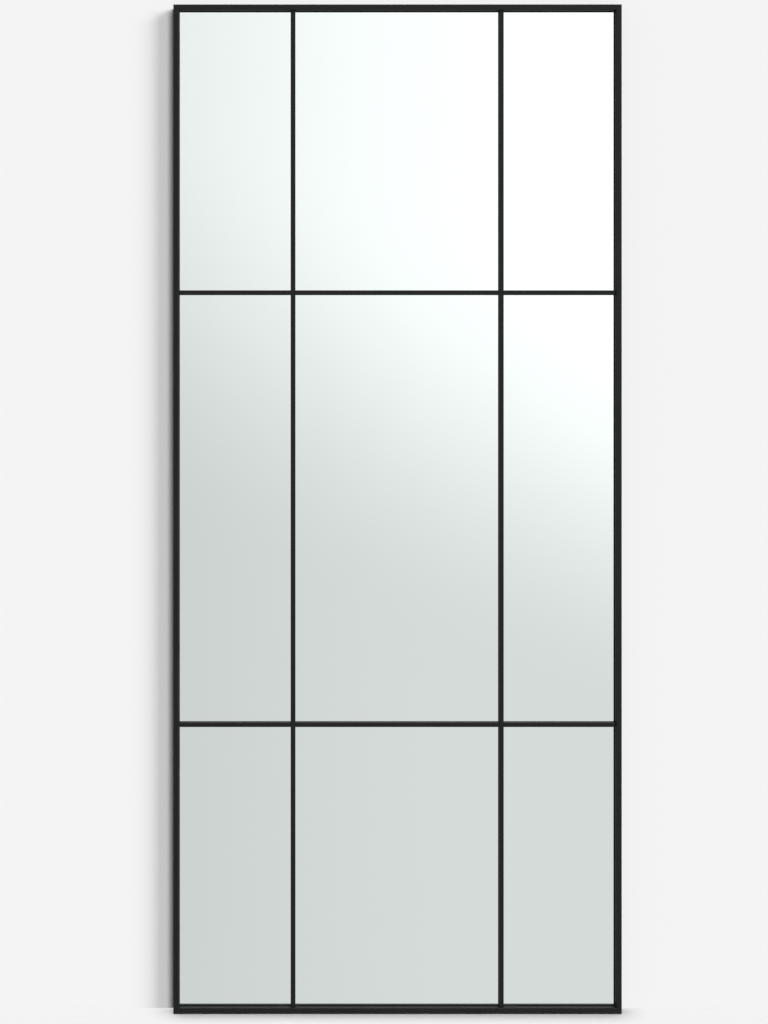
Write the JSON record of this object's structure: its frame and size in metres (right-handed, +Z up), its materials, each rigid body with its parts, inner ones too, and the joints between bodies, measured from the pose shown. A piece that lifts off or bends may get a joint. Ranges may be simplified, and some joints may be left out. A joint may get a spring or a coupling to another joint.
{
  "type": "leaning floor mirror",
  "caption": "Tall full-length mirror in a slim black steel frame, with a grid of square glazing bars over one sheet of glass, to lean on a wall.",
  "frame": {"origin": "middle of the width and of the depth, on the floor plane under the foot pads", "axes": "+Z up, +X to the right as seen from the front, the mirror faces -Y"},
  "size_m": [0.8, 0.032, 1.801],
  "materials": {
    "black_powder_coat": "satin powder coat",
    "mirror_glass": "polished, silvered behind",
    "backing_board": "raw pressed fibreboard",
    "foam_tape": "closed-cell foam",
    "black_rubber": "matt",
    "zinc_steel": "bright zinc plate"
  },
  "bodies": {
    "root": {"left_stile": "black_powder_coat", "right_stile": "black_powder_coat", "top_rail": "black_powder_coat", "bottom_rail": "black_powder_coat", "left_glazing_bar": "black_powder_coat", "right_glazing_bar": "black_powder_coat", "upper_left_crossbar": "black_powder_coat", "upper_centre_crossbar": "black_powder_coat", "upper_right_crossbar": "black_powder_coat", "lower_left_crossbar": "black_powder_coat", "lower_centre_crossbar": "black_powder_coat", "lower_right_crossbar": "black_powder_coat", "left_hanger": "black_powder_coat", "right_hanger": "black_powder_coat", "mirror_glass": "mirror_glass", "backing_board": "backing_board", "tape_strip_1": "foam_tape", "tape_strip_2": "foam_tape", "tape_strip_3": "foam_tape", "tape_strip_4": "foam_tape", "tape_strip_5": "foam_tape", "left_setting_block": "black_rubber", "right_setting_block": "black_rubber", "top_left_spacer": "black_rubber", "top_right_spacer": "black_rubber", "left_lower_spacer": "black_rubber", "left_upper_spacer": "black_rubber", "right_lower_spacer": "black_rubber", "right_upper_spacer": "black_rubber", "left_lower_bumper": "black_rubber", "left_upper_bumper": "black_rubber", "right_lower_bumper": "black_rubber", "right_upper_bumper": "black_rubber", "left_foot_pad": "black_rubber", "right_foot_pad": "black_rubber", "left_clip_1": "zinc_steel", "left_clip_2": "zinc_steel", "left_clip_3": "zinc_steel", "left_clip_4": "zinc_steel", "right_clip_1": "zinc_steel", "right_clip_2": "zinc_steel", "right_clip_3": "zinc_steel", "right_clip_4": "zinc_steel", "top_clip_1": "zinc_steel", "top_clip_2": "zinc_steel", "bottom_clip_1": "zinc_steel", "bottom_clip_2": "zinc_steel", "clip_screws": "zinc_steel"}
  },
  "joints": []
}
